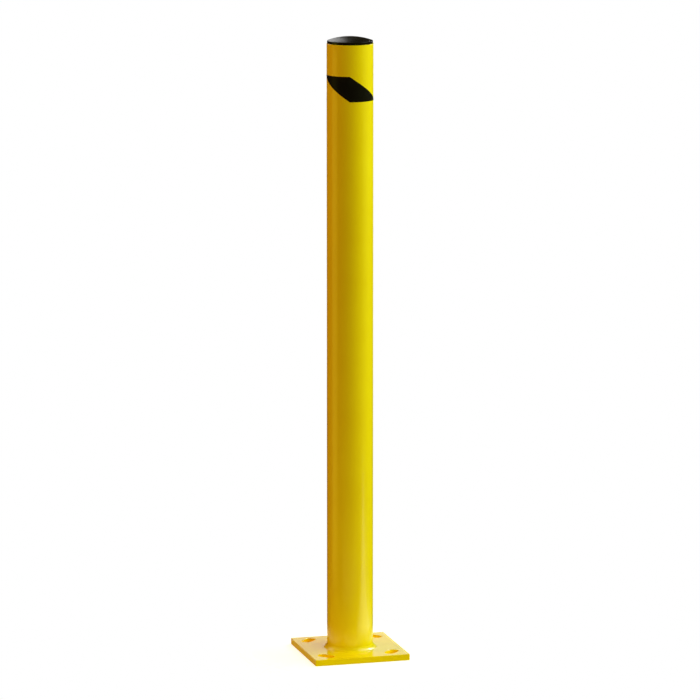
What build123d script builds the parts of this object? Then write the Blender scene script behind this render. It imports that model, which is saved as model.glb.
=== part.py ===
from build123d import *
import math
import os

# A steel pipe bollard for bolting down: a round pipe stands on a square plate with four
# slotted anchor holes, a fillet weld runs round its foot, a moulded cap is pushed into
# its open top, and two slanted black warning stripes are wrapped round it near the top.
# Millimetres, +Z up. The origin is the centre of the plate's underside. The plate's edges
# run along X and Y, and its front edge faces -Y.

# Pipe
bollard_height = 1524.0  # floor to the pipe's rim
pipe_diameter = 114.3
pipe_wall = 6.02
rim_chamfer = 0.8  # broken edges of the cut end, inside and outside

# Base plate
plate_side = 241.3
plate_thickness = 15.875
plate_corner_radius = 2.0
plate_edge_break = 0.7
slot_inset = 36.5  # from a slot's centre to each of the two nearest plate edges
slot_width = 25.4
slot_travel = 19.1  # between the centres of a slot's two round ends
slot_edge_break = 0.5

# Fillet weld round the foot
weld_leg = 9.5
weld_hollow = 1.0  # how far the middle of the bead's face lies below a straight slope

# Cap
cap_inset = 1.15  # the flange stops this far inside the pipe's outer face
cap_side = 6.7  # upright edge of the flange
cap_dome_rise = 9.8
cap_edge_break = 0.8  # softened edge between the dome and the upright edge
cap_shell = 2.8  # least wall under the dome
cap_core_flat = 19.0  # radius of the flat middle of the hollow's roof
skirt_depth = 34.0
skirt_wall = 2.4
skirt_gap = 2.0  # between the skirt and the bore
skirt_lead_in = 7.0  # height of the tapered end that finds the bore
skirt_taper = 2.2  # how far the tapered end draws in
fin_count = 3
fin_first_drop = 4.5  # from the rim down to the top of the first fin
fin_pitch = 8.4
fin_root = 2.2
fin_tip = 0.7
fin_clearance = 0.08  # running clearance between the fins and the bore
gusset_count = 8
gusset_thickness = 2.0
gusset_reach = 15.0  # inwards from the skirt
gusset_drop = 20.0  # down the skirt from the rim

# Warning stripes
stripe_count = 2
stripe_film = 0.2
stripe_adhesive = 0.05  # the glue line that holds the film off the paint
stripe_height = 62.0
stripe_drop = 76.2  # from the rim down to the stripes' top edge
stripe_heading = -105.8  # direction of the first stripe's lower start, degrees from +X

pipe_radius = pipe_diameter / 2
bore_radius = pipe_radius - pipe_wall
stripe_sweep = 360.0 / (2 * stripe_count)  # black and yellow share the girth equally


def turned(section):
    """One full turn of a section drawn in the XZ plane, about the Z axis."""
    return revolve(section, Axis.Z, 360)


def section_of(points):
    """A closed face in the XZ plane from (radius, height) points."""
    return Plane.XZ * make_face(Polyline(*points, close=True))


def make_base_plate():
    """Square plate with four slots, each lying across its own corner's diagonal."""
    plate = extrude(RectangleRounded(plate_side, plate_side, plate_corner_radius), plate_thickness)
    plate = chamfer(plate.faces().sort_by(Axis.Z)[-1].edges(), plate_edge_break)
    slot_offset = plate_side / 2 - slot_inset
    for corner in range(4):
        corner_angle = 45 + 90 * corner
        place = Rot(0, 0, corner_angle) * Pos(slot_offset * math.sqrt(2), 0, 0) * Rot(0, 0, 90)
        cutter = extrude(SlotCenterToCenter(slot_travel, slot_width), plate_thickness)
        mouth = SlotCenterToCenter(slot_travel, slot_width + 2 * slot_edge_break)
        flare = extrude(mouth, slot_edge_break, taper=45)
        top_flare = Pos(0, 0, plate_thickness) * Rot(180, 0, 0) * flare
        plate = plate - place * cutter - place * top_flare
    return plate


def make_post_tube():
    """Round pipe standing on the plate, with both edges of its rim broken."""
    return turned(section_of([
        (bore_radius, plate_thickness),
        (pipe_radius, plate_thickness),
        (pipe_radius, bollard_height - rim_chamfer),
        (pipe_radius - rim_chamfer, bollard_height),
        (bore_radius + rim_chamfer, bollard_height),
        (bore_radius, bollard_height - rim_chamfer),
    ]))


def make_weld_bead():
    """Fillet bead in the corner between pipe and plate, its face hollowed along the middle."""
    middle_reach = weld_leg / 2 - weld_hollow / math.sqrt(2)
    return turned(section_of([
        (pipe_radius, plate_thickness),
        (pipe_radius + weld_leg, plate_thickness),
        (pipe_radius + middle_reach, plate_thickness + middle_reach),
        (pipe_radius, plate_thickness + weld_leg),
    ]))


def make_cap_blank():
    """Outside of the cap as one solid: dome, upright edge, skirt, fins and tapered end."""
    flange_radius = pipe_radius - cap_inset
    skirt_radius = bore_radius - skirt_gap
    shoulder = bollard_height + cap_side
    peak = shoulder + cap_dome_rise
    dome_radius = (flange_radius ** 2 + cap_dome_rise ** 2) / (2 * cap_dome_rise)
    halfway = flange_radius / 2
    halfway_height = peak - dome_radius + math.sqrt(dome_radius ** 2 - halfway ** 2)
    skirt_end = bollard_height - skirt_depth
    sides = Polyline(
        (0, peak),
        (0, skirt_end),
        (skirt_radius - skirt_taper, skirt_end),
        (skirt_radius, skirt_end + skirt_lead_in),
        (skirt_radius, bollard_height),
        (flange_radius, bollard_height),
        (flange_radius, shoulder),
    )
    dome = ThreePointArc((flange_radius, shoulder), (halfway, halfway_height), (0, peak))
    section = make_face(sides + dome)
    brow = section.vertices().sort_by_distance((flange_radius, shoulder, 0))[0]
    section = chamfer(brow, cap_edge_break)
    blank = turned(Plane.XZ * section)
    for index in range(fin_count):
        blank += make_cap_fin(bollard_height - fin_first_drop - index * fin_pitch)
    return blank


def make_cap_fin(fin_top):
    """One thin ring fin whose underside slopes up to its tip, so that it bends going in."""
    root_radius = bore_radius - skirt_gap - skirt_wall / 2
    tip_radius = bore_radius - fin_clearance
    return turned(section_of([
        (root_radius, fin_top - fin_root),
        (bore_radius - skirt_gap, fin_top - fin_root),
        (tip_radius, fin_top - fin_tip),
        (tip_radius, fin_top),
        (root_radius, fin_top),
    ]))


def make_cap_hollow():
    """The space moulded out of the cap's underside: its roof climbs with the dome to a flat."""
    inner_radius = bore_radius - skirt_gap - skirt_wall
    skirt_end = bollard_height - skirt_depth
    roof = bollard_height + cap_side - cap_shell
    flange_radius = pipe_radius - cap_inset
    roof_climb = cap_dome_rise * (inner_radius ** 2 - cap_core_flat ** 2) / flange_radius ** 2
    return turned(section_of([
        (0, roof + roof_climb),
        (0, skirt_end),
        (inner_radius - skirt_taper, skirt_end),
        (inner_radius, skirt_end + skirt_lead_in),
        (inner_radius, roof),
        (cap_core_flat, roof + roof_climb),
    ]))


def make_cap_gusset():
    """One upright stiffening web under the dome, deepest where it meets the skirt."""
    outer = bore_radius - skirt_gap - skirt_wall / 2
    inner = bore_radius - skirt_gap - skirt_wall - gusset_reach
    above = bollard_height + cap_side + cap_dome_rise
    web = section_of([
        (outer, bollard_height - gusset_drop),
        (outer - skirt_wall, bollard_height - gusset_drop),
        (inner, bollard_height),
        (inner, above),
        (outer, above),
    ])
    return extrude(web, gusset_thickness / 2, both=True)


def make_end_cap():
    """Push-in cap moulded in one piece, hollow underneath and stiffened by webs."""
    hollow = make_cap_hollow()
    cap = make_cap_blank() - hollow
    for index in range(gusset_count):
        web = Rot(0, 0, index * 360 / gusset_count) * make_cap_gusset()
        cap += web & hollow
    return cap


def make_warning_stripe(index):
    """A thin film wrapped on the pipe, drawing back as it climbs by the width of one stripe."""
    bottom = bollard_height - stripe_drop - stripe_height
    inner_radius = pipe_radius + stripe_adhesive
    ring = Cylinder(inner_radius + stripe_film, stripe_height) - Cylinder(inner_radius, stripe_height)
    ring = Pos(0, 0, bottom + stripe_height / 2) * ring
    near = bore_radius
    far = pipe_radius + pipe_wall
    fan = CenterArc((0, 0), near, 0, stripe_sweep) + CenterArc((0, 0), far, 0, stripe_sweep)
    fan += Line((near, 0), (far, 0))
    fan += Line(PolarLine((0, 0), near, stripe_sweep) @ 1, PolarLine((0, 0), far, stripe_sweep) @ 1)
    start = stripe_heading + index * 360 / stripe_count
    sector = (Pos(0, 0, bottom) * Rot(0, 0, start) * make_face(fan)).face()
    wedge = Solid.extrude_linear_with_rotation(
        sector, (0, 0, bottom), (0, 0, stripe_height), -stripe_sweep)
    return ring & wedge


def main():
    os.makedirs("parts", exist_ok=True)
    pieces = {
        "base_plate": make_base_plate(),
        "post_tube": make_post_tube(),
        "weld_bead": make_weld_bead(),
        "end_cap": make_end_cap(),
    }
    for index in range(stripe_count):
        pieces["warning_stripe_" + str(index + 1)] = make_warning_stripe(index)
    for name, piece in pieces.items():
        export_step(piece, "parts/" + name + ".step")
        print(name, round(piece.volume / 1000, 2), "cm3")


main()
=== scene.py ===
import math
import bmesh
import bpy
import numpy as np
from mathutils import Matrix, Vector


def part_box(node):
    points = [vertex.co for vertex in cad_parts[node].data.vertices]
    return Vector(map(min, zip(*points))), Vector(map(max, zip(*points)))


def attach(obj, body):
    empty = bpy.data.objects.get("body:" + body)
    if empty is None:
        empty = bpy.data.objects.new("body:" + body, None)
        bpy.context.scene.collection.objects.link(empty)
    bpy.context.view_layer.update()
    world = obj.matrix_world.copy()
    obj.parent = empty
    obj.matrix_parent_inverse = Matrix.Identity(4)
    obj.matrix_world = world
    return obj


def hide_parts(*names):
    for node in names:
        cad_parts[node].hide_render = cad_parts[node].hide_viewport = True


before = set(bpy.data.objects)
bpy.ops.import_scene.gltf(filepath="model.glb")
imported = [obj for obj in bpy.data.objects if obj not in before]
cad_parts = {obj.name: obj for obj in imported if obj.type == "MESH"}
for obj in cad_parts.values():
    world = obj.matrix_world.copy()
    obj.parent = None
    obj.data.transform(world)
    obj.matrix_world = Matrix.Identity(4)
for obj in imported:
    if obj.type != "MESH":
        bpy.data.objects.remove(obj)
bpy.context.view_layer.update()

# A yellow pipe bollard on a slotted plate, in metres, standing on z = 0.
# Every size below that the frame can give is read from it, so the dressed pieces sit on the solids.

print("stage: frame loaded")


# Mesh helpers

def gridQuads(rows, columns, wrapRows, wrapColumns):
    # Quads of a rows x columns grid of points, numbered row by row, closed on itself where asked
    row = np.arange(rows if wrapRows else rows - 1)[:, None]
    column = np.arange(columns if wrapColumns else columns - 1)[None, :]
    rowAfter = (row + 1) % rows
    columnAfter = (column + 1) % columns
    corners = [
        row * columns + column,
        row * columns + columnAfter,
        rowAfter * columns + columnAfter,
        rowAfter * columns + column,
    ]
    return np.stack(np.broadcast_arrays(*corners), axis=-1).reshape(-1, 4)


def placed(name, data):
    # A new object in the scene
    thing = bpy.data.objects.new(name, data)
    bpy.context.scene.collection.objects.link(thing)
    return thing


def meshPiece(name, points, faces, sharpDegrees=35.0):
    # One outward-facing, smooth-shaded object from an array of points and a list of faces
    mesh = bpy.data.meshes.new(name)
    mesh.from_pydata(points.tolist(), [], [list(face) for face in faces])
    work = bmesh.new()
    work.from_mesh(mesh)
    bmesh.ops.remove_doubles(work, verts=work.verts, dist=1e-6)
    bmesh.ops.recalc_face_normals(work, faces=work.faces)
    work.to_mesh(mesh)
    work.free()
    mesh.shade_smooth()
    mesh.set_sharp_from_angle(angle=math.radians(sharpDegrees))
    return placed(name, mesh)


def standIn(piece, node, body, finish):
    # The piece takes the place of one solid of the frame, moves with its body and wears its finish
    piece.data.materials.append(finish)
    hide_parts(node)
    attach(piece, body)


def roundedOutline(corners, rounds, steps=5, hugShare=0.35):
    # Each corner of a closed outline becomes an arc that touches both its sides; a round of 0 stays
    # a corner. Two extra points hug each arc, so that smooth shading stays flat on the sides.
    corners = np.asarray(corners, float)
    outline = []
    for index, corner in enumerate(corners):
        back = corners[index - 1] - corner
        ahead = corners[(index + 1) % len(corners)] - corner
        back = back / np.linalg.norm(back)
        ahead = ahead / np.linalg.norm(ahead)
        size = rounds[index]
        if size == 0:
            outline.append(corner[None, :])
            continue
        half = math.acos(np.clip(back @ ahead, -1, 1)) / 2
        reach = size / math.tan(half)
        middle = corner + (back + ahead) / np.linalg.norm(back + ahead) * size / math.sin(half)
        first = corner + back * reach - middle
        last = corner + ahead * reach - middle
        share = np.linspace(0, 1, steps)[:, None]
        sweep = math.pi - 2 * half
        arc = (np.sin((1 - share) * sweep) * first + np.sin(share * sweep) * last) / math.sin(sweep)
        hug = size * hugShare
        outline.append((middle + first + back * hug)[None, :])
        outline.append(middle + arc)
        outline.append((middle + last + ahead * hug)[None, :])
    return np.concatenate(outline)


def turnedPoints(profile, segments):
    # Each (radius, height) of the profile goes once round the Z axis: x = r cos a, y = r sin a
    angle = np.linspace(0, 2 * math.pi, segments, endpoint=False)
    radius = profile[:, 0][:, None]
    x = radius * np.cos(angle)
    y = radius * np.sin(angle)
    z = np.broadcast_to(profile[:, 1][:, None], x.shape)
    return np.stack([x, y, z], axis=-1).reshape(-1, 3)


# Node helpers

noiseSpan = (0.3, 0.7)  # nearly all values of a noise lie between these


def newFinish(name):
    finish = bpy.data.materials.new(name)
    finish.use_nodes = True
    tree = finish.node_tree
    shader = tree.nodes["Principled BSDF"]
    where = tree.nodes.new("ShaderNodeTexCoord")
    return finish, tree, shader, where.outputs["Object"]


def noiseOn(tree, place, scale, detail=2.0, roughness=0.5):
    noise = tree.nodes.new("ShaderNodeTexNoise")
    noise.inputs["Scale"].default_value = scale
    noise.inputs["Detail"].default_value = detail
    noise.inputs["Roughness"].default_value = roughness
    tree.links.new(place, noise.inputs["Vector"])
    return noise.outputs["Fac"]


def mapped(tree, value, fromLow, fromHigh, toLow, toHigh):
    span = tree.nodes.new("ShaderNodeMapRange")
    span.inputs["From Min"].default_value = fromLow
    span.inputs["From Max"].default_value = fromHigh
    span.inputs["To Min"].default_value = toLow
    span.inputs["To Max"].default_value = toHigh
    tree.links.new(value, span.inputs["Value"])
    return span.outputs["Result"]


def colourMix(tree, share, low, high):
    # low and high are each a colour or a socket that carries one. The mix node has a set of sockets
    # for each kind of value, and those of its colours are inputs 6 and 7 and output 2.
    mix = tree.nodes.new("ShaderNodeMix")
    mix.data_type = "RGBA"
    tree.links.new(share, mix.inputs["Factor"])
    for socket, value in ((mix.inputs[6], low), (mix.inputs[7], high)):
        if hasattr(value, "node"):
            tree.links.new(value, socket)
        else:
            socket.default_value = (*value, 1.0)
    return mix.outputs[2]


def bumpFrom(tree, height, distance, strength, under=None):
    bump = tree.nodes.new("ShaderNodeBump")
    bump.inputs["Distance"].default_value = distance
    bump.inputs["Strength"].default_value = strength
    tree.links.new(height, bump.inputs["Height"])
    if under is not None:
        tree.links.new(under, bump.inputs["Normal"])
    return bump.outputs["Normal"]


def mathOf(tree, kind, first, second=None):
    node = tree.nodes.new("ShaderNodeMath")
    node.operation = kind
    for socket, value in zip(node.inputs, (first, second)):
        if value is None:
            continue
        if hasattr(value, "node"):
            tree.links.new(value, socket)
        else:
            socket.default_value = value
    return node.outputs[0]


def shaderMix(tree, share, first, second):
    mix = tree.nodes.new("ShaderNodeMixShader")
    tree.links.new(share, mix.inputs["Fac"])
    tree.links.new(first, mix.inputs[1])
    tree.links.new(second, mix.inputs[2])
    return mix.outputs[0]


def scaledBy(tree, vector, factors):
    # Each of the three values of a colour or a place times its own factor
    node = tree.nodes.new("ShaderNodeVectorMath")
    node.operation = "MULTIPLY"
    node.inputs[1].default_value = factors
    tree.links.new(vector, node.inputs[0])
    return node.outputs[0]


def axesOf(tree, place):
    split = tree.nodes.new("ShaderNodeSeparateXYZ")
    tree.links.new(place, split.inputs["Vector"])
    return split.outputs


# Yellow powder coat

paint = {
    "thick": (0.890, 0.755, 0.006),  # full film
    "thin": (0.865, 0.712, 0.004),  # a shade warmer where the film is thinner
    "cloudScale": 7.0,  # slow drift of the film's thickness, per metre
    "cloudSpan": (0.35, 0.65),
    "peelScale": 330.0,  # orange peel, per metre
    "peelDepth": 0.00005,
    "peelStrength": 0.6,
    "fineScale": 1500.0,
    "roughDrift": 0.06,
}


def powderCoat(name, shine, rough, glint):
    # Two near tones drift slowly over the film, and a fine orange peel breaks up the gloss.
    # The glint tints a head-on reflection, while a grazing one stays white.
    finish, tree, shader, place = newFinish(name)
    cloud = noiseOn(tree, place, paint["cloudScale"], detail=3.0)
    share = mapped(tree, cloud, *paint["cloudSpan"], 0.0, 1.0)
    tree.links.new(colourMix(tree, share, paint["thin"], paint["thick"]), shader.inputs["Base Color"])
    peel = noiseOn(tree, place, paint["peelScale"], detail=1.5, roughness=0.4)
    fine = noiseOn(tree, place, paint["fineScale"])
    apart = paint["roughDrift"] / 2
    drift = mapped(tree, fine, *noiseSpan, rough - apart, rough + apart)
    tree.links.new(drift, shader.inputs["Roughness"])
    normal = bumpFrom(tree, peel, paint["peelDepth"], paint["peelStrength"])
    tree.links.new(normal, shader.inputs["Normal"])
    shader.inputs["Specular IOR Level"].default_value = shine
    shader.inputs["Specular Tint"].default_value = (*glint, 1.0)
    return finish, tree, shader, place


# Pipe

pipe = {
    "wall": 0.00602,
    "rimRound": 0.0009,
    "rimBand": 0.004,  # the last stretch below the rim has no rows of its own
    "segments": 192,
    "rows": 60,
    "shine": 0.45,
    "rough": 0.20,
    "glint": (1.0, 0.95, 0.60),
    "steel": (0.055, 0.050, 0.047),  # bare mill scale inside
    "rust": (0.10, 0.075, 0.06),
    "rustScale": 90.0,
    "coatedShare": 0.8,  # of the wall, from outside; what lies further in gets the inside's look
    "overspray": 0.09,  # how far the coat reaches down inside, at most
    "oversprayScale": 60.0,
    "oversprayFade": (-0.02, 0.03),  # it fades out between these, measured down from its ragged end
}


def makePipeFinish():
    # Powder coat outside; inside, dark mill scale under overspray that fades down the bore
    finish, tree, shader, place = powderCoat("pipePaint", pipe["shine"], pipe["rough"], pipe["glint"])
    axes = axesOf(tree, place)
    squares = [mathOf(tree, "MULTIPLY", axes[axis], axes[axis]) for axis in ("X", "Y")]
    radius = mathOf(tree, "SQRT", mathOf(tree, "ADD", squares[0], squares[1]))
    inside = mathOf(tree, "LESS_THAN", radius, tubeRadius - pipe["wall"] * pipe["coatedShare"])
    depth = mathOf(tree, "SUBTRACT", rimHeight, axes["Z"])
    spray = noiseOn(tree, place, pipe["oversprayScale"], detail=4.0, roughness=0.7)
    ragged = mathOf(tree, "MULTIPLY", spray, pipe["overspray"])
    beyond = mathOf(tree, "SUBTRACT", depth, ragged)
    bare = mapped(tree, beyond, *pipe["oversprayFade"], 0.0, 1.0)
    share = mathOf(tree, "MULTIPLY", inside, bare)
    painted = shader.inputs["Base Color"].links[0].from_socket
    patches = noiseOn(tree, place, pipe["rustScale"], detail=6.0, roughness=0.7)
    rusty = mapped(tree, patches, *noiseSpan, 0.0, 1.0)
    scale = colourMix(tree, rusty, pipe["steel"], pipe["rust"])
    tree.links.new(colourMix(tree, share, painted, scale), shader.inputs["Base Color"])
    return finish


def makePipe():
    # A closed outline of the wall, eased at the rim, carried once round the axis
    bottom = tubeLow.z
    inner = tubeRadius - pipe["wall"]
    band = rimHeight - pipe["rimBand"]
    outer = [(tubeRadius, height) for height in np.linspace(bottom, band, pipe["rows"])]
    crest = [(tubeRadius, rimHeight), (inner, rimHeight)]
    bore = [(inner, height) for height in np.linspace(band, bottom, pipe["rows"] // 2)]
    rounds = [0] * len(outer) + [pipe["rimRound"]] * 2 + [0] * len(bore)
    profile = roundedOutline(outer + crest + bore, rounds)
    points = turnedPoints(profile, pipe["segments"])
    faces = gridQuads(len(profile), pipe["segments"], True, True)
    return meshPiece("postTube", points, faces)


tubeLow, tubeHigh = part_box("post_tube")
tubeRadius = tubeHigh.x
rimHeight = tubeHigh.z
standIn(makePipe(), "post_tube", "post", makePipeFinish())
print("stage: pipe")


# Base plate

plate = {
    "slotInset": 0.0365,  # slot centre to the two nearest edges
    "slotWidth": 0.0254,
    "slotTravel": 0.0191,  # between the centres of a slot's round ends
    "cornerRound": 0.0020,
    "edgeRound": 0.0009,
    "edgeSteps": 3,
    "edgeDegrees": 50.0,  # only edges that turn by more than this are rounded
    "sharpDegrees": 40.0,
    "sideSteps": 28,  # points along each side of a quarter
    "cornerSteps": 8,
    "rings": 5,
    "shine": 0.50,
    "rough": 0.15,
    "glint": (1.0, 0.93, 0.30),
    "cutShine": 0.01,  # the sawn sides under the coat are rougher than the rolled top
    "cutRough": 0.42,
    "cutPaintedShade": (0.90, 0.86, 1.0),  # painted shade, darker and warmer on the outer sides; the coat is also thinner there
    "sawPitch": 420.0,  # saw lines per metre, along the cut
    "sawStretch": 0.04,  # they run upright, as height counts only this much
    "sawDepth": 0.00006,
    "sawStrength": 0.7,
}


def slotReach(angle):
    # How far the slot's outline is from its centre along the ray at an angle a from its long axis,
    # with w half its width and h half its travel: w / sin a where the ray meets a straight side,
    # h cos a + sqrt(w^2 - (h sin a)^2) where it meets a round end
    radius = plate["slotWidth"] / 2
    half = plate["slotTravel"] / 2
    across = np.abs(np.sin(angle))
    along = np.abs(np.cos(angle))
    toSide = radius / np.maximum(across, 1e-9)
    toEnd = half * along + np.sqrt(np.maximum(radius ** 2 - (half * across) ** 2, 0))
    return np.where(toSide * along <= half, toSide, toEnd)


def quarterOutline(inward, outward):
    # Square round a slot's centre, with the plate's own corner rounded: p = start + t (end - start) on
    # the sides and middle + r (cos a, sin a) on the corner. The steps between the two marks lie on
    # the plate's edge.
    size = plate["cornerRound"]
    share = np.linspace(0, 1, plate["sideSteps"], endpoint=False)[:, None]
    turn = np.linspace(0, math.pi / 2, plate["cornerSteps"], endpoint=False)[:, None]
    stops = np.array([
        (-inward, -inward),
        (outward, -inward),
        (outward, outward - size),
        (outward - size, outward),
        (-inward, outward),
    ])
    sides = []
    for low, high in ((0, 1), (1, 2), (3, 4), (4, 0)):
        sides.append(stops[low] + share * (stops[high] - stops[low]))
    arc = outward - size + size * np.concatenate([np.cos(turn), np.sin(turn)], axis=1)
    outline = np.concatenate([sides[0], sides[1], arc, sides[2], sides[3]])
    edgeFrom = plate["sideSteps"]
    edgeTo = 3 * plate["sideSteps"] + plate["cornerSteps"]
    return outline, edgeFrom, edgeTo


def makePlate():
    # Each quarter of the plate is a sheet between its slot and its own square outline: the point at
    # share v along the ray at angle u is (1 - v) slot(u) + v square(u). Slot walls and an edge join
    # top and bottom.
    half = plateHigh.x
    middle = half - plate["slotInset"]
    outer, edgeFrom, edgeTo = quarterOutline(middle, plate["slotInset"])
    around = len(outer)
    angle = np.arctan2(outer[:, 1], outer[:, 0])
    ray = np.stack([np.cos(angle), np.sin(angle)], axis=-1)
    inner = ray * slotReach(angle - 3 * math.pi / 4)[:, None]
    share = np.linspace(0, 1, plate["rings"])[:, None, None]
    sheet = (inner * (1 - share) + outer * share + middle).reshape(-1, 2)
    size = len(sheet)
    ring = np.arange(around)
    after = np.roll(ring, -1)
    rim = (plate["rings"] - 1) * around
    quads = gridQuads(plate["rings"], around, False, True)
    wall = np.stack([ring, after, after + size, ring + size], axis=-1)
    quarterFaces = np.concatenate([quads, quads + size, wall, wall[edgeFrom:edgeTo] + rim])
    points = []
    faces = []
    for quarter in range(4):
        turn = math.pi / 2 * quarter
        spin = np.array([[math.cos(turn), math.sin(turn)], [-math.sin(turn), math.cos(turn)]])
        for height in (plateLow.z, plateHigh.z):
            points.append(np.column_stack([sheet @ spin, np.full(size, height)]))
        faces.append(quarterFaces + 2 * size * quarter)
    piece = meshPiece("basePlate", np.concatenate(points), np.concatenate(faces), plate["sharpDegrees"])
    bevel = piece.modifiers.new("edgeRound", "BEVEL")
    bevel.width = plate["edgeRound"]
    bevel.segments = plate["edgeSteps"]
    bevel.limit_method = "ANGLE"
    bevel.angle_limit = math.radians(plate["edgeDegrees"])
    bevel.harden_normals = True
    return piece


def makePlateFinish():
    # Gloss on the rolled top; on the sides and in the slots, a duller coat over fine upright saw lines.
    # The outer sides also get painted shade, a darker and warmer colour.
    finish, tree, shader, place = powderCoat("platePaint", plate["shine"], plate["rough"], plate["glint"])
    axes = axesOf(tree, place)
    brow = plateHigh.z - plate["edgeRound"]
    cut = mapped(tree, axes["Z"], brow, brow - plate["edgeRound"], 0.0, 1.0)
    shine = mapped(tree, cut, 0.0, 1.0, plate["shine"], plate["cutShine"])
    tree.links.new(shine, shader.inputs["Specular IOR Level"])
    drift = shader.inputs["Roughness"].links[0].from_socket
    duller = mathOf(tree, "MULTIPLY", cut, plate["cutRough"] - plate["rough"])
    tree.links.new(mathOf(tree, "ADD", drift, duller), shader.inputs["Roughness"])
    coat = shader.inputs["Base Color"].links[0].from_socket
    # Painted shade: the outer sides are darker and warmer than the top, partly for a thinner coat there
    paintedShadeCoat = scaledBy(tree, coat, plate["cutPaintedShade"])
    reaches = [mathOf(tree, "ABSOLUTE", axes[axis]) for axis in ("X", "Y")]
    reach = mathOf(tree, "MAXIMUM", *reaches)
    outer = mathOf(tree, "GREATER_THAN", reach, plateHigh.x - plate["cornerRound"])
    paintedShadeShare = mathOf(tree, "MULTIPLY", cut, outer)
    tree.links.new(colourMix(tree, paintedShadeShare, coat, paintedShadeCoat), shader.inputs["Base Color"])
    stretched = scaledBy(tree, place, (1, 1, plate["sawStretch"]))
    sawn = noiseOn(tree, stretched, plate["sawPitch"], detail=3.0)
    lines = mathOf(tree, "MULTIPLY", sawn, cut)
    peel = shader.inputs["Normal"].links[0].from_socket
    normal = bumpFrom(tree, lines, plate["sawDepth"], plate["sawStrength"], peel)
    tree.links.new(normal, shader.inputs["Normal"])
    return finish


plateLow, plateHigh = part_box("base_plate")
standIn(makePlate(), "base_plate", "post", makePlateFinish())
print("stage: base plate")


# Weld bead

weld = {
    "segments": 1440,
    "across": 14,  # points from the head on the pipe to the toe on the plate
    "hollow": 0.0010,  # how far the middle of the face lies below a straight slope
    "ripplePitch": 0.0036,
    "rippleDepth": 0.00016,
    "rippleBow": 1.1,  # how far a ripple's middle trails its ends, in pitches
    "rippleSkew": 0.6,  # one flank of each ripple is steeper
    "legDrift": 0.0004,
    "legWaves": ((0.6, 5, 0.7), (0.4, 11, 2.1)),  # share, waves round the foot, start angle
    "sharpDegrees": 60.0,
    "sink": 0.0006,  # hidden edge of the bead, inside pipe and plate
    "shine": 0.60,
    "rough": 0.20,
    "glint": (1.0, 1.0, 1.0),
}


def makeWeld():
    # Bead surface over angle a and share s from head to toe: a straight slope between the two legs,
    # drawn in by hollow * sin(pi s), with a ripple that repeats each pitch and trails in mid-bead:
    # 1/2 + 1/2 sin(p + skew sin p), where p = ripples * a - 2 pi bow sin(pi s).
    # The legs drift a little with a, by two slow waves.
    leg = weldHigh.x - tubeRadius
    base = weldLow.z
    angle = np.linspace(0, 2 * math.pi, weld["segments"], endpoint=False)[None, :]
    share = np.linspace(0, 1, weld["across"])[:, None]
    ripples = round(2 * math.pi * (tubeRadius + leg / 2) / weld["ripplePitch"])
    drift = sum(part * np.sin(waves * angle + start) for part, waves, start in weld["legWaves"])
    size = leg - weld["legDrift"] * (1 + drift)
    phase = ripples * angle - 2 * math.pi * weld["rippleBow"] * np.sin(math.pi * share)
    wave = 0.5 + 0.5 * np.sin(phase + weld["rippleSkew"] * np.sin(phase))
    push = np.sin(math.pi * share) * (weld["rippleDepth"] * (wave - 0.5) - weld["hollow"])
    # The push is square to the slope, so it goes out and up by the same amount
    push = push * math.sqrt(0.5)
    radius = tubeRadius + size * share + push
    height = base + size * (1 - share) + push
    # The last row closes the bead, out of sight inside pipe and plate
    hidden = np.ones_like(angle)
    radius = np.concatenate([radius, hidden * (tubeRadius - weld["sink"])])
    height = np.concatenate([height, hidden * (base - weld["sink"])])
    points = np.stack([radius * np.cos(angle), radius * np.sin(angle), height], axis=-1).reshape(-1, 3)
    faces = gridQuads(weld["across"] + 1, weld["segments"], True, True)
    return meshPiece("weldBead", points, faces, weld["sharpDegrees"])


def makeWeldFinish():
    # The same coat, a little shinier and with a white glint
    return powderCoat("weldPaint", weld["shine"], weld["rough"], weld["glint"])[0]


weldLow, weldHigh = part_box("weld_bead")
standIn(makeWeld(), "weld_bead", "post", makeWeldFinish())
print("stage: weld bead")


# Cap

cap = {
    "domeRise": 0.0098,
    "domeSteps": 20,
    "domeStop": 2.2,  # the dome's own points stop this many edge rounds short of its edge
    "shell": 0.0028,
    "edgeRound": 0.0013,
    "lipRound": 0.0003,  # lower edge of the flange
    "skirtGap": 0.0020,
    "skirtWall": 0.0024,
    "leadIn": 0.007,
    "taper": 0.0022,
    "skirtRound": 0.0004,  # the two edges of the skirt's end
    "finCount": 3,
    "firstDrop": 0.0045,
    "finPitch": 0.0084,
    "finRoot": 0.0022,
    "finTip": 0.0007,
    "finRound": 0.0001,
    "finClearance": 0.00008,
    "gussets": 8,
    "gussetThickness": 0.0020,
    "gussetReach": 0.0150,
    "gussetDrop": 0.0200,
    "coreFlat": 0.0190,  # radius of the flat middle of the hollow's roof
    "roofRound": 0.0012,  # where the roof meets the skirt
    "coreRound": 0.0020,  # where the slope meets the flat middle
    "segments": 160,
    "black": (0.0050, 0.0048, 0.0045),
    "worn": (0.0090, 0.0085, 0.0080),
    "cloudScale": 25.0,
    "cloudSpan": (0.35, 0.7),
    "grainScale": 2200.0,
    "grainDepth": 0.00002,
    "grainStrength": 0.35,
    "rough": (0.22, 0.30),
    "shine": 0.4,
}


def domeHeights(radius, edgeRadius, edgeHeight, rise):
    # Height of a shallow ball cap of that rise above its edge: sqrt(R^2 - r^2), less the ball's drop
    ball = (edgeRadius ** 2 + rise ** 2) / (2 * rise)
    return edgeHeight + rise - ball + np.sqrt(ball ** 2 - radius ** 2)


def roofHeights(inner):
    # The hollow's roof where it meets the skirt, and its flat middle, which is higher by
    # dome rise * (inner^2 - flat^2) / edge^2
    roof = capHigh.z - cap["domeRise"] - cap["shell"]
    climb = cap["domeRise"] * (inner ** 2 - cap["coreFlat"] ** 2) / capHigh.x ** 2
    return roof, roof + climb


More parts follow.
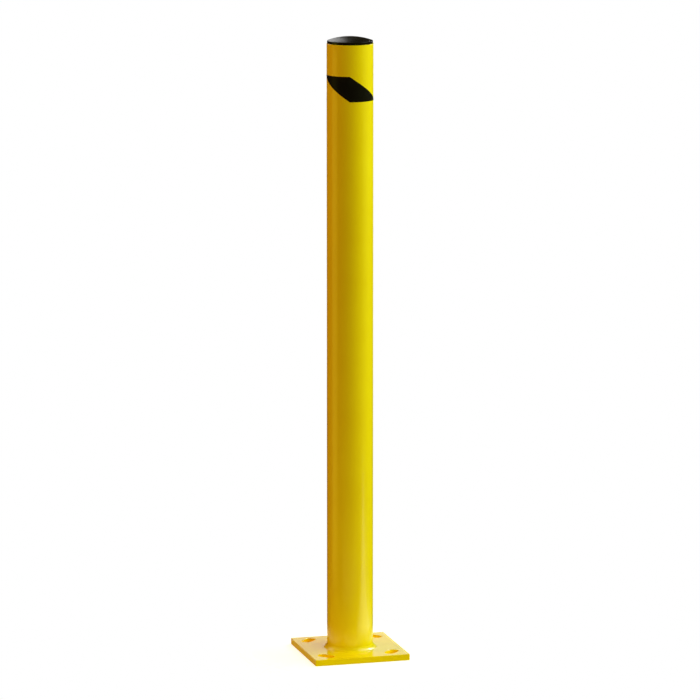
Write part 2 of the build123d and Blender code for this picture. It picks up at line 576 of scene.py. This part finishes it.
def capProfile():
    # From the dome's peak out over the edge, down the skirt and its fins, and up inside to the axis
    bore = tubeRadius - pipe["wall"]
    skirt = bore - cap["skirtGap"]
    inner = skirt - cap["skirtWall"]
    foot = capLow.z
    shoulder = capHigh.z - cap["domeRise"]
    edge = capHigh.x
    domeRadii = np.linspace(0, edge - cap["domeStop"] * cap["edgeRound"], cap["domeSteps"])
    top = np.column_stack([domeRadii, domeHeights(domeRadii, edge, shoulder, cap["domeRise"])])
    corners = [(edge, shoulder), (edge, rimHeight), (skirt, rimHeight)]
    rounds = [cap["edgeRound"], cap["lipRound"], 0]
    tip = bore - cap["finClearance"]
    for index in range(cap["finCount"]):
        crest = rimHeight - cap["firstDrop"] - index * cap["finPitch"]
        corners += [(skirt, crest), (tip, crest)]
        corners += [(tip, crest - cap["finTip"]), (skirt, crest - cap["finRoot"])]
        rounds += [0, cap["finRound"], cap["finRound"], 0]
    corners += [(skirt, foot + cap["leadIn"]), (skirt - cap["taper"], foot)]
    corners += [(inner - cap["taper"], foot), (inner, foot + cap["leadIn"])]
    rounds += [0, cap["skirtRound"], cap["skirtRound"], 0]
    roof, crown = roofHeights(inner)
    corners += [(inner, roof), (cap["coreFlat"], crown), (0, crown)]
    rounds += [cap["roofRound"], cap["coreRound"], 0]
    sides = roundedOutline([tuple(top[-1])] + corners, [0] + rounds)
    return np.concatenate([top[:-1], sides])


def gussetPieces():
    # One upright web: its five-cornered side, at two distances from the web's middle plane, then turned
    bore = tubeRadius - pipe["wall"]
    inner = bore - cap["skirtGap"] - cap["skirtWall"]
    root = inner + cap["skirtWall"] / 2
    roof, crown = roofHeights(inner)
    buried = cap["shell"] / 2
    climb = (crown - roof) * cap["gussetReach"] / (inner - cap["coreFlat"])
    front = inner - cap["gussetReach"]
    side = np.array([
        (root, rimHeight - cap["gussetDrop"]),
        (inner - cap["skirtWall"] / 2, rimHeight - cap["gussetDrop"]),
        (front, rimHeight),
        (front, roof + buried + climb),
        (root, roof + buried),
    ])
    half = cap["gussetThickness"] / 2
    corners = len(side)
    points = []
    faces = []
    for index in range(cap["gussets"]):
        turn = 2 * math.pi * index / cap["gussets"]
        for offset in (-half, half):
            x = side[:, 0] * math.cos(turn) - offset * math.sin(turn)
            y = side[:, 0] * math.sin(turn) + offset * math.cos(turn)
            points.append(np.column_stack([x, y, side[:, 1]]))
        near = np.arange(corners) + 2 * corners * index
        nearAfter = np.roll(near, -1)
        far = near + corners
        farAfter = nearAfter + corners
        faces += [near.tolist(), far[::-1].tolist()]
        faces += np.stack([near, nearAfter, farAfter, far], axis=-1).tolist()
    return np.concatenate(points), faces


def makeCap():
    # The turned shell and its upright webs as one mesh
    profile = capProfile()
    shell = turnedPoints(profile, cap["segments"])
    faces = gridQuads(len(profile), cap["segments"], False, True).tolist()
    webs, webFaces = gussetPieces()
    faces += [[number + len(shell) for number in face] for face in webFaces]
    return meshPiece("endCap", np.concatenate([shell, webs]), faces)


def makeCapFinish():
    # Satin moulded plastic with a fine spark-eroded grain
    finish, tree, shader, place = newFinish("capPlastic")
    cloud = noiseOn(tree, place, cap["cloudScale"], detail=4.0, roughness=0.6)
    wear = mapped(tree, cloud, *cap["cloudSpan"], 0.0, 1.0)
    tree.links.new(colourMix(tree, wear, cap["black"], cap["worn"]), shader.inputs["Base Color"])
    grain = noiseOn(tree, place, cap["grainScale"], roughness=0.6)
    tree.links.new(mapped(tree, grain, *noiseSpan, *cap["rough"]), shader.inputs["Roughness"])
    normal = bumpFrom(tree, grain, cap["grainDepth"], cap["grainStrength"])
    tree.links.new(normal, shader.inputs["Normal"])
    shader.inputs["Specular IOR Level"].default_value = cap["shine"]
    return finish


capLow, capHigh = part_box("end_cap")
standIn(makeCap(), "end_cap", "cap", makeCapFinish())
print("stage: cap")


# Warning stripes

stripe = {
    "count": 2,
    "heading": -105.8,  # where the first one starts at its foot, degrees from +X
    "columns": 96,
    "rows": 48,
    "film": 0.0002,
    "glue": 0.00005,
    "black": (0.0062, 0.0064, 0.0085),
    "dust": (0.0095, 0.0098, 0.0120),
    "dustScale": 40.0,
    "dustSpan": (0.45, 0.75),
    "fineScale": 900.0,
    "rough": (0.30, 0.40),
    "rippleScale": 120.0,
    "rippleDepth": 0.00003,
    "rippleStrength": 0.5,
    "shine": 0.05,
}


def makeStripe(index):
    # Film point at share u along and v up: angle = heading + sweep * (u - v), height = foot + v * tall.
    # The outer skin is thickened inwards to the glue line.
    low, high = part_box("warning_stripe_" + str(index + 1))
    sweep = math.pi / stripe["count"]
    outer = tubeRadius + stripe["glue"] + stripe["film"]
    heading = math.radians(stripe["heading"]) + index * 2 * math.pi / stripe["count"]
    along = np.linspace(0, 1, stripe["columns"])[None, :]
    up = np.linspace(0, 1, stripe["rows"])[:, None]
    angle = heading + sweep * (along - up)
    height = np.broadcast_to(low.z + up * (high.z - low.z), angle.shape)
    points = np.stack([outer * np.cos(angle), outer * np.sin(angle), height], axis=-1).reshape(-1, 3)
    faces = gridQuads(stripe["rows"], stripe["columns"], False, False)
    piece = meshPiece("warningStripe" + str(index + 1), points, faces)
    solid = piece.modifiers.new("film", "SOLIDIFY")
    solid.thickness = stripe["film"]
    solid.offset = -1
    return piece


def makeStripeFinish():
    # Smooth black vinyl, faintly dusty, with a soft ripple left by the squeegee
    finish, tree, shader, place = newFinish("stripeVinyl")
    cloud = noiseOn(tree, place, stripe["dustScale"], detail=5.0, roughness=0.6)
    dusty = mapped(tree, cloud, *stripe["dustSpan"], 0.0, 1.0)
    tree.links.new(colourMix(tree, dusty, stripe["black"], stripe["dust"]), shader.inputs["Base Color"])
    fine = noiseOn(tree, place, stripe["fineScale"])
    tree.links.new(mapped(tree, fine, *noiseSpan, *stripe["rough"]), shader.inputs["Roughness"])
    ripple = noiseOn(tree, place, stripe["rippleScale"], detail=1.0)
    normal = bumpFrom(tree, ripple, stripe["rippleDepth"], stripe["rippleStrength"])
    tree.links.new(normal, shader.inputs["Normal"])
    shader.inputs["Specular IOR Level"].default_value = stripe["shine"]
    return finish


stripeFinish = makeStripeFinish()
for stripeIndex in range(stripe["count"]):
    stripeNode = "warning_stripe_" + str(stripeIndex + 1)
    standIn(makeStripe(stripeIndex), stripeNode, "post", stripeFinish)
print("stage: warning stripes")


# Camera

cameraSet = {
    "heading": 15.50,  # degrees from +Y towards +X
    "distance": 10.911,  # level distance from the pipe's axis
    "height": 2.715,
    "pitch": 10.132,
    "lens": 231.36,
    "sensor": 36.0,
    "farthest": 60.0,
}


def aimedDirection(degreesFromView):
    # Level direction away from the pipe, turned clockwise from the way the camera looks
    turn = math.radians(cameraSet["heading"] + degreesFromView)
    return np.array([math.sin(turn), math.cos(turn), 0.0])


def aroundPipe(degreesFromView, distance, height):
    # The place that is so far from the pipe's axis in that direction, at that height
    return distance * aimedDirection(degreesFromView) + np.array([0, 0, height])


camera = placed("camera", bpy.data.cameras.new("camera"))
camera.location = aroundPipe(0, -cameraSet["distance"], cameraSet["height"])
camera.rotation_euler = (math.radians(90 - cameraSet["pitch"]), 0, math.radians(-cameraSet["heading"]))
camera.data.lens = cameraSet["lens"]
camera.data.sensor_width = cameraSet["sensor"]
camera.data.clip_end = cameraSet["farthest"]
bpy.context.scene.camera = camera


# Floor, world and lamps

studio = {
    "floorColour": (0.78, 0.81, 0.98),  # a cool white, which the warm surround turns neutral
    "floorDrop": 0.0004,  # clear of the plate's underside
    "floorReach": 3.0,
    "floorFade": (0.17, 0.34),  # the floor thins out into the white surround between these radii
    "floorLift": 0.75,
    "surround": (0.330, 0.155, 0.050),  # what lights the object from all round
    "clothColour": (0.035, 0.033, 0.033),
    "weaveScale": 3.0,
    "weaveSpan": (0.8, 1.2),  # the cloth's colour drifts between these shares of itself
    "clothReach": 4.0,  # from the pipe to each black cloth
    "clothLow": -0.05,
    "clothTop": 7.0,
    "backdropHalf": 0.9,  # half the width of the white backdrop that the cloths leave open
    "backdropLow": 1.35,  # above this, a cloth hides the right of the backdrop
    "backdropRight": -0.26,  # where that cloth starts, from the middle
}


def seenDirectly(tree):
    # 1 where a ray comes straight from the camera, off gloss or through glass, else 0
    rays = tree.nodes.new("ShaderNodeLightPath")
    straight = mathOf(tree, "MAXIMUM", rays.outputs["Is Camera Ray"], rays.outputs["Is Transmission Ray"])
    return mathOf(tree, "MAXIMUM", straight, rays.outputs["Is Glossy Ray"])


def makeFloor():
    # A pale sheet that catches the shadow and thins out to nothing, so the white surround takes over
    reach = studio["floorReach"]
    signs = ((-1, -1), (1, -1), (1, 1), (-1, 1))
    corners = [(x * reach, y * reach, -studio["floorDrop"]) for x, y in signs]
    mesh = bpy.data.meshes.new("floor")
    mesh.from_pydata(corners, [], [[0, 1, 2, 3]])
    floor = placed("floor", mesh)
    finish, tree, shader, place = newFinish("floorPaper")
    tree.nodes.remove(shader)
    output = tree.nodes["Material Output"]
    paper = tree.nodes.new("ShaderNodeBsdfDiffuse")
    paper.inputs["Color"].default_value = (*studio["floorColour"], 1.0)
    lift = tree.nodes.new("ShaderNodeEmission")
    strength = mathOf(tree, "MULTIPLY", seenDirectly(tree), studio["floorLift"])
    tree.links.new(strength, lift.inputs["Strength"])
    lit = tree.nodes.new("ShaderNodeAddShader")
    tree.links.new(paper.outputs[0], lit.inputs[0])
    tree.links.new(lift.outputs[0], lit.inputs[1])
    clear = tree.nodes.new("ShaderNodeBsdfTransparent")
    away = tree.nodes.new("ShaderNodeVectorMath")
    away.operation = "LENGTH"
    tree.links.new(place, away.inputs[0])
    fade = tree.nodes.new("ShaderNodeMapRange")
    fade.interpolation_type = "SMOOTHSTEP"
    fade.inputs["From Min"].default_value = studio["floorFade"][0]
    fade.inputs["From Max"].default_value = studio["floorFade"][1]
    tree.links.new(away.outputs["Value"], fade.inputs["Value"])
    thinned = shaderMix(tree, fade.outputs["Result"], lit.outputs[0], clear.outputs[0])
    tree.links.new(thinned, output.inputs["Surface"])
    mesh.materials.append(finish)


def makeWorld():
    # White where it is seen, straight or in gloss or through glass; a plain warm surround as a light
    world = bpy.data.worlds.new("studio")
    world.use_nodes = True
    tree = world.node_tree
    tree.nodes.clear()
    output = tree.nodes.new("ShaderNodeOutputWorld")
    white = tree.nodes.new("ShaderNodeBackground")
    white.inputs["Color"].default_value = (1, 1, 1, 1)
    around = tree.nodes.new("ShaderNodeBackground")
    around.inputs["Color"].default_value = (*studio["surround"], 1)
    seen = shaderMix(tree, seenDirectly(tree), around.outputs[0], white.outputs[0])
    tree.links.new(seen, output.inputs["Surface"])
    bpy.context.scene.world = world


def makeCloths():
    # Black cloths on all sides of the set, which only the gloss sees. They leave the backdrop open
    # behind the object, and above its low part only the left of it, so the cap is bright on the left
    # alone.
    reach = studio["clothReach"]
    half = studio["backdropHalf"]
    right = studio["backdropRight"]
    middle = studio["backdropLow"]
    top = studio["clothTop"]
    low = studio["clothLow"]
    # Each cloth is a start and two edges, in metres to the right, away from the camera and up
    cloths = [
        ((-reach, -reach, low), (2 * reach, 0, 0), (0, 2 * reach, 0)),
        ((-reach, -reach, top), (2 * reach, 0, 0), (0, 2 * reach, 0)),
        ((-reach, -reach, low), (2 * reach, 0, 0), (0, 0, top - low)),
        ((-reach, -reach, low), (0, 2 * reach, 0), (0, 0, top - low)),
        ((reach, -reach, low), (0, 2 * reach, 0), (0, 0, top - low)),
        ((-reach, reach, low), (reach - half, 0, 0), (0, 0, top - low)),
        ((half, reach, low), (reach - half, 0, 0), (0, 0, top - low)),
        ((right, reach, middle), (half - right, 0, 0), (0, 0, top - middle)),
    ]
    start, first, second = np.moveaxis(np.array(cloths, float), 1, 0)
    corners = np.stack([start, start + first, start + first + second, start + second], axis=1)
    axes = np.array([aimedDirection(90), aimedDirection(0), (0, 0, 1)])
    points = corners.reshape(-1, 3) @ axes
    mesh = bpy.data.meshes.new("blackCloths")
    mesh.from_pydata(points.tolist(), [], np.arange(len(points)).reshape(-1, 4).tolist())
    piece = placed("blackCloths", mesh)
    finish, tree, shader, place = newFinish("blackCloth")
    weave = mapped(tree, noiseOn(tree, place, studio["weaveScale"]), *noiseSpan, *studio["weaveSpan"])
    colour = tree.nodes.new("ShaderNodeVectorMath")
    colour.operation = "SCALE"
    colour.inputs[0].default_value = studio["clothColour"]
    tree.links.new(weave, colour.inputs["Scale"])
    tree.links.new(colour.outputs[0], shader.inputs["Base Color"])
    shader.inputs["Roughness"].default_value = 1.0
    shader.inputs["Specular IOR Level"].default_value = 0.0
    mesh.materials.append(finish)
    piece.visible_camera = False
    piece.visible_diffuse = False
    piece.visible_shadow = False
    piece.visible_transmission = False
    piece.visible_volume_scatter = False


def softbox(name, degrees, distance, height, tilt, width, tall, radiance, tint, lights):
    # An area lamp placed by its direction round the pipe, clockwise from the way the camera looks.
    # It faces straight down at a tilt of 0, the pipe at 90 and straight up at 180. It works on the
    # matt side of the finishes, on their gloss, or on both.
    lamp = bpy.data.lights.new(name, "AREA")
    lamp.shape = "RECTANGLE"
    lamp.size = width
    lamp.size_y = tall
    lamp.energy = radiance * math.pi * width * tall
    lamp.color = tint
    holder = placed(name, lamp)
    holder.location = aroundPipe(degrees, distance, height)
    holder.rotation_euler = (math.radians(tilt), 0, math.pi - math.radians(cameraSet["heading"] + degrees))
    holder.visible_camera = False
    holder.visible_diffuse = lights != "gloss"
    holder.visible_glossy = lights != "matt"


# Places, sizes and angles were given one by one. The radiances and tints of most lamps, and the colour of
# the surround, come from a least-squares fit of one render per lamp to the photograph's colours. Given
# one by one are weldGlint, footGlow, the radiance of floorSheen and the lamps under the slots.
lamps = [
    # name, degrees, distance, height, tilt, width, tall, radiance, tint, what it lights
    ("keyHigh", 75, 3.3, 4.4, 43, 3.2, 2.2, 2.32, (0.91, 0.91, 1.00), "both"),
    ("keyWall", 86, 3.0, 1.5, 77, 3.2, 2.6, 2.94, (0.74, 1.00, 0.22), "matt"),
    ("frontHigh", 135, 3.3, 4.4, 43, 2.6, 2.2, 4.11, (0.74, 1.00, 0.22), "matt"),
    ("fillHigh", -80, 3.3, 4.4, 43, 2.2, 2.2, 4.79, (1.00, 0.65, 0.05), "matt"),
    ("fillWall", -95, 3.0, 1.2, 82, 2.0, 2.2, 0.32, (1.00, 0.34, 0.05), "matt"),
    ("fillBack", -55, 3.0, 1.5, 77, 1.6, 2.4, 0.48, (1.00, 0.34, 0.05), "matt"),
    ("paintGlow", -100, 0.9, 0.70, 90, 0.5, 1.46, 1.26, (1.00, 1.00, 0.10), "gloss"),
    ("capLeft", -55, 3.0, 3.0, 62, 2.4, 1.4, 1.15, (1.00, 1.00, 0.95), "gloss"),
    ("capCard", -20, 3.2, 3.2, 62, 1.4, 1.4, 1.16, (1.00, 1.00, 1.00), "gloss"),
    ("weldFill", 42, 3.0, 2.4, 52, 0.8, 0.8, 6.53, (0.91, 0.86, 1.00), "matt"),
    ("weldGlint", 42, 3.0, 2.4, 52, 1.1, 0.8, 34.0, (0.84, 0.84, 1.00), "gloss"),
    ("floorGlow", 97, 0.9, 0.02, 180, 0.5, 1.4, 0.50, (0.87, 1.00, 0.78), "both"),
    ("floorSheen", 111, 1.1, 0.02, 180, 0.34, 1.8, 2.05, (0.91, 0.95, 1.00), "gloss"),
    ("floorFront", 180, 0.7, 0.02, 180, 1.0, 0.3, 1.47, (0.91, 0.95, 1.00), "matt"),
    ("footCard", 180, 0.5, 0.06, 90, 0.6, 0.1, 1.66, (1.00, 0.86, 0.10), "matt"),
    ("footGlow", -160, 0.086, 0.024, 175, 0.16, 0.034, 0.36, (1.00, 0.76, 0.05), "matt"),
]
slotGlow = {
    "height": -0.0002,  # between the floor and the plate's underside
    "radiance": 0.74,
    "tint": (1.00, 0.27, 0.01),
}


def makeSlotGlow(quarter):
    # A small lamp under a slot faces up, for the light that bounces about between floor and slot
    turn = 45 + 90 * quarter - cameraSet["heading"]
    distance = (plateHigh.x - plate["slotInset"]) * math.sqrt(2)
    length = plate["slotTravel"] + plate["slotWidth"]
    softbox("slotGlow" + str(quarter + 1), turn, distance, slotGlow["height"], 180,
            length, plate["slotWidth"], slotGlow["radiance"], slotGlow["tint"], "matt")


makeFloor()
makeWorld()
makeCloths()
for lampSet in lamps:
    softbox(*lampSet)
for slotIndex in range(4):
    makeSlotGlow(slotIndex)
bpy.context.scene.view_settings.view_transform = "Standard"
print("stage: camera, floor and lamps")
